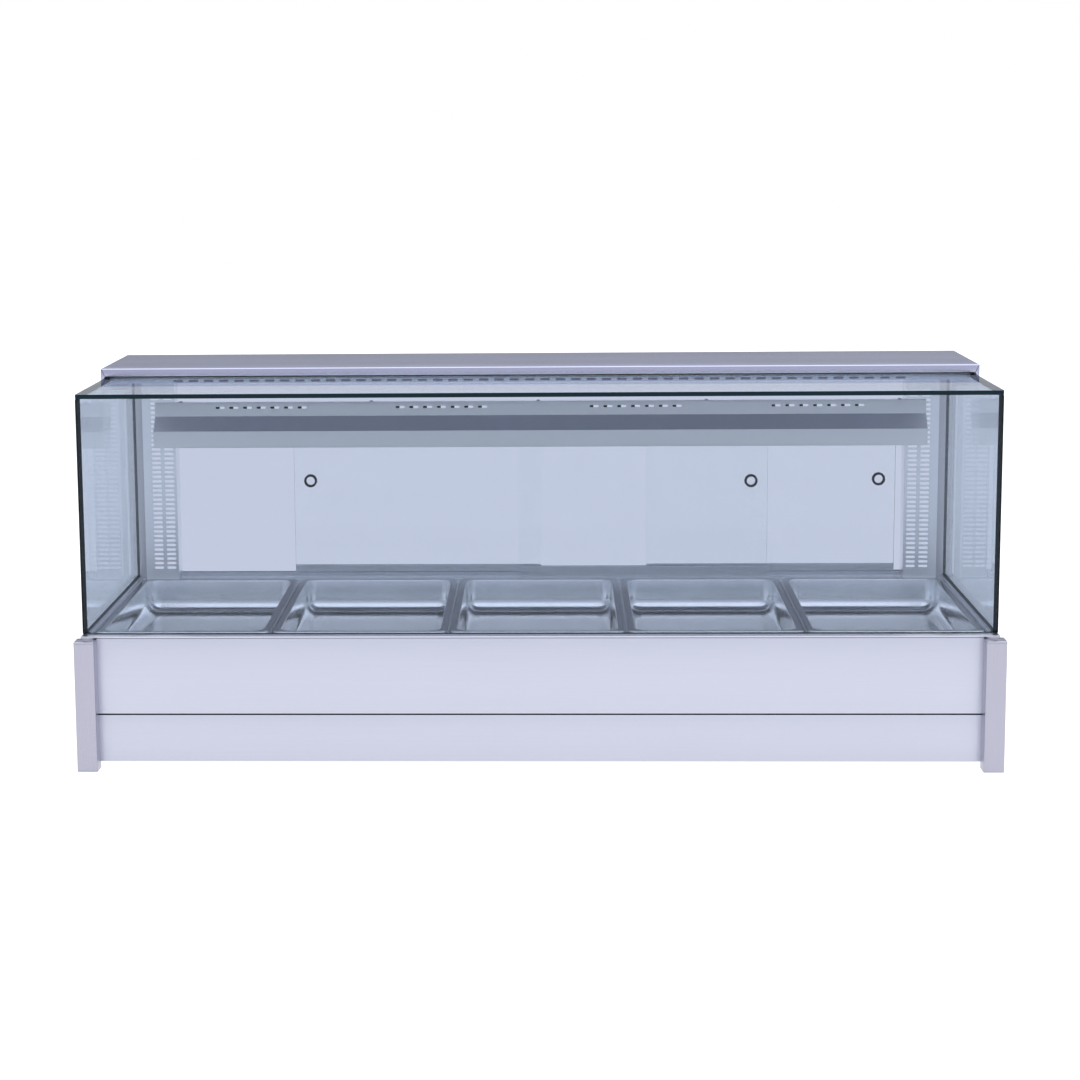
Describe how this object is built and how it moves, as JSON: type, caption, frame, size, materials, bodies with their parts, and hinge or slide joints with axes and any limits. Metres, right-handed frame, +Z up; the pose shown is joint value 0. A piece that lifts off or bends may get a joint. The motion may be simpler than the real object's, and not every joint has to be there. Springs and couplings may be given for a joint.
{
  "type": "heated food display case",
  "caption": "Glazed counter-top hot food display: square-glass enclosure over a row of lift-out pans in a heated well, lamp hood, rear sliding glass doors.",
  "frame": {"origin": "middle of the footprint, on the floor", "axes": "+Z up; X along the case's length, +X to the right seen by a guest; the guest side faces -Y and the staff side with the sliding doors faces +Y"},
  "size_m": [1.712, 0.674, 0.718],
  "materials": {
    "brushed_steel": "satin brushed stainless sheet",
    "polished_steel": "semi-bright stainless",
    "aluminium": "satin anodised",
    "clear_glass": "clear toughened, dark blue-green at the edges",
    "lamp_glass": "quartz tube",
    "heater_sheath": "dull, heat-darkened",
    "brass": "cast, satin",
    "red_plastic": "gloss",
    "green_plastic": "gloss",
    "black_plastic": "matt",
    "seal_rubber": "matt silicone",
    "ceramic": "matt, ceramic-like"
  },
  "bodies": {
    "cabinet": {"leg_front_left": "brushed_steel", "leg_front_right": "brushed_steel", "leg_rear_left": "brushed_steel", "leg_rear_right": "brushed_steel", "leg_plugs": "brushed_steel", "fascia_upper": "brushed_steel", "fascia_lower": "brushed_steel", "side_panel_left": "brushed_steel", "side_panel_right": "brushed_steel", "rear_panel": "brushed_steel", "base_floor": "brushed_steel", "front_ledge": "polished_steel", "rear_ledge": "polished_steel", "deck_sides": "polished_steel", "divider_bars": "polished_steel", "well_floor": "brushed_steel", "well_walls": "brushed_steel", "well_ends": "brushed_steel", "heater_rods": "heater_sheath", "drain_tap": "brass", "switch_frames": "black_plastic", "cable_gland": "black_plastic", "front_glass": "clear_glass", "side_glass_left": "clear_glass", "side_glass_right": "clear_glass", "top_glass": "clear_glass", "glass_channels": "aluminium", "rear_post_left": "brushed_steel", "rear_post_right": "brushed_steel", "vent_column_left": "brushed_steel", "vent_column_right": "brushed_steel", "canopy": "brushed_steel", "canopy_seal": "seal_rubber", "vent_rail": "brushed_steel", "corner_brackets": "brushed_steel", "track_lower": "aluminium", "track_upper": "aluminium", "hood": "brushed_steel", "hood_screws": "brushed_steel", "lamp_reflector": "polished_steel", "heat_lamps": "lamp_glass", "lamp_holders": "ceramic"},
    "door_left": {"door_glass_left": "clear_glass", "door_shoe_left": "aluminium", "door_ring_left": "black_plastic"},
    "door_middle": {"door_glass_middle": "clear_glass", "door_shoe_middle": "aluminium", "door_ring_middle": "black_plastic"},
    "door_right": {"door_glass_right": "clear_glass", "door_shoe_right": "aluminium", "door_ring_right": "black_plastic"},
    "thermostat_knob": {"thermostat_knob": "black_plastic"},
    "power_rocker": {"power_rocker": "red_plastic"},
    "lamp_rocker": {"lamp_rocker": "green_plastic"},
    "drain_lever": {"drain_lever": "red_plastic"},
    "pan_1": {"pan_1": "polished_steel"},
    "pan_2": {"pan_2": "polished_steel"},
    "pan_3": {"pan_3": "polished_steel"},
    "pan_4": {"pan_4": "polished_steel"},
    "pan_5": {"pan_5": "polished_steel"}
  },
  "joints": [
    {"name": "door_left_slide", "type": "slide", "parent": "cabinet", "child": "door_left", "axis": [1, 0, 0], "range_m": [-0.2415, 0]},
    {"name": "door_middle_slide", "type": "slide", "parent": "cabinet", "child": "door_middle", "axis": [1, 0, 0], "range_m": [-0.711, 0.279]},
    {"name": "door_right_slide", "type": "slide", "parent": "cabinet", "child": "door_right", "axis": [1, 0, 0], "range_m": [-0.218, 0.014]},
    {"name": "thermostat_turn", "type": "hinge", "parent": "cabinet", "child": "thermostat_knob", "pos_m": [0.56, 0.307, 0.17], "axis": [0, 1, 0], "range_deg": [0, 270]},
    {"name": "power_rock", "type": "hinge", "parent": "cabinet", "child": "power_rocker", "pos_m": [0.5, 0.301, 0.17], "axis": [1, 0, 0], "range_deg": [0, 16]},
    {"name": "lamp_rock", "type": "hinge", "parent": "cabinet", "child": "lamp_rocker", "pos_m": [0.44, 0.301, 0.17], "axis": [1, 0, 0], "range_deg": [0, 16]},
    {"name": "drain_turn", "type": "hinge", "parent": "cabinet", "child": "drain_lever", "pos_m": [-0.6, 0.32, 0.08], "axis": [0, 0, 1], "range_deg": [0, 90]},
    {"name": "pan_1_lift", "type": "slide", "parent": "cabinet", "child": "pan_1", "axis": [0, 0, 1], "range_m": [0, 0.2]},
    {"name": "pan_2_lift", "type": "slide", "parent": "cabinet", "child": "pan_2", "axis": [0, 0, 1], "range_m": [0, 0.2]},
    {"name": "pan_3_lift", "type": "slide", "parent": "cabinet", "child": "pan_3", "axis": [0, 0, 1], "range_m": [0, 0.2]},
    {"name": "pan_4_lift", "type": "slide", "parent": "cabinet", "child": "pan_4", "axis": [0, 0, 1], "range_m": [0, 0.2]},
    {"name": "pan_5_lift", "type": "slide", "parent": "cabinet", "child": "pan_5", "axis": [0, 0, 1], "range_m": [0, 0.2]}
  ]
}
